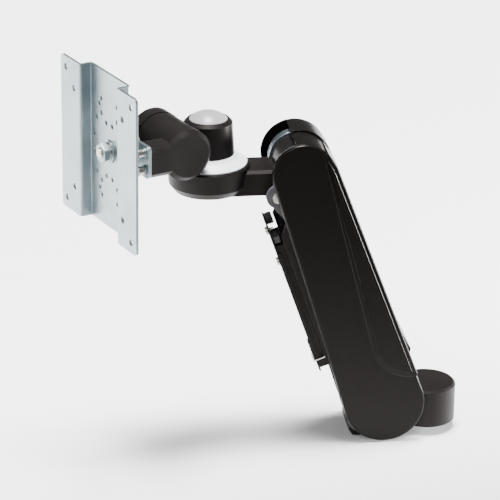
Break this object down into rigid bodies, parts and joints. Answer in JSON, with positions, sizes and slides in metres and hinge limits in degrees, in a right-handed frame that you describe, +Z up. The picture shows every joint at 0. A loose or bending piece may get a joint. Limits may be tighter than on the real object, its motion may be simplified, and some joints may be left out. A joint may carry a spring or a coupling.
{
  "type": "monitor arm",
  "caption": "Spring-balanced desk monitor arm: round post boss, parallelogram arm in a black casing, swivel and tilt head, and a pressed plate for the monitor.",
  "frame": {"origin": "centre of the base bore's mouth, at the underside of the base boss", "axes": "+Z up along the base bore; -X is the direction that the monitor plate faces at rest; +Y to the far side"},
  "size_m": [0.2656, 0.1444, 0.2975],
  "materials": {
    "cast_black": "satin black powder coat on die castings",
    "case_black": "semi-gloss black moulded plastic",
    "trim_black": "matte black moulded plastic",
    "grey_paint": "grey enamel",
    "zinc": "clear zinc-plated pressed steel",
    "steel": "nickel-plated steel",
    "spring_steel": "oiled spring wire",
    "nylon": "white nylon",
    "cap_grey": "satin light grey plastic"
  },
  "bodies": {
    "base": {"base_bracket": "cast_black", "base_bush": "nylon", "base_set_screw": "steel", "lower_pivot_pin": "steel", "lower_pivot_washers": "nylon", "link_lower_pin": "steel"},
    "arm": {"side_plate_near": "zinc", "side_plate_far": "zinc", "cover_near": "case_black", "cover_far": "case_black", "top_cap": "case_black", "cover_screws": "steel", "spring": "spring_steel", "spring_seats": "zinc", "spring_anchor": "zinc", "spring_block": "zinc", "tension_screw": "steel"},
    "link": {"lower_link": "grey_paint", "link_upper_bolt": "steel", "under_cover": "trim_black", "cable_channel": "trim_black", "channel_lid": "trim_black", "lid_screws": "steel", "channel_tab": "grey_paint", "channel_clip": "steel"},
    "front_bracket": {"front_bracket": "cast_black", "barrel_rings": "zinc", "upper_pivot_pin": "steel", "upper_pivot_washers": "nylon", "swivel_ring": "nylon", "swivel_post": "steel", "swivel_washer": "zinc", "swivel_nut": "steel"},
    "head": {"head_hub": "cast_black", "dome_cap": "cap_grey", "hub_bush": "nylon", "tilt_bushes": "nylon"},
    "yoke": {"yoke_cheek_near": "cast_black", "yoke_cheek_far": "cast_black", "tilt_shaft": "steel", "head_plate": "zinc", "yoke_screws": "steel", "yoke_spring_washers": "steel", "yoke_flat_washers": "zinc", "pivot_bolt": "steel", "pivot_collar": "zinc", "friction_disc": "zinc", "pivot_washer": "zinc", "pivot_spring_washer": "steel", "pivot_nut": "zinc"},
    "plate": {"vesa_plate": "zinc"}
  },
  "joints": [
    {"name": "arm_pitch", "type": "hinge", "parent": "base", "child": "arm", "pos_m": [-0.03384, 0.01367, 0.027], "axis": [-0.3746, -0.9272, 0], "range_deg": [0, 68]},
    {"name": "link_pitch", "type": "hinge", "parent": "base", "child": "link", "pos_m": [-0.0496, 0.02004, 0.0088], "axis": [-0.3746, -0.9272, 0], "range_deg": [0, 68]},
    {"name": "level", "type": "hinge", "parent": "arm", "child": "front_bracket", "pos_m": [-0.09342, 0.03774, 0.20846], "axis": [-0.3746, -0.9272, 0], "range_deg": [-68, 0]},
    {"name": "head_swivel", "type": "hinge", "parent": "front_bracket", "child": "head", "pos_m": [-0.15462, 0.06247, 0.21146], "axis": [0, 0, 1], "range_deg": [-112, 68]},
    {"name": "head_tilt", "type": "hinge", "parent": "head", "child": "yoke", "pos_m": [-0.18612, 0.06247, 0.23056], "axis": [0, 1, 0], "range_deg": [-45, 45]},
    {"name": "plate_turn", "type": "hinge", "parent": "yoke", "child": "plate", "pos_m": [-0.24362, 0.06247, 0.23296], "axis": [1, 0, 0], "continuous": true}
  ],
  "couplings": [
    {"joint": "link_pitch", "follows": "arm_pitch", "ratio": 1},
    {"joint": "level", "follows": "arm_pitch", "ratio": -1}
  ]
}
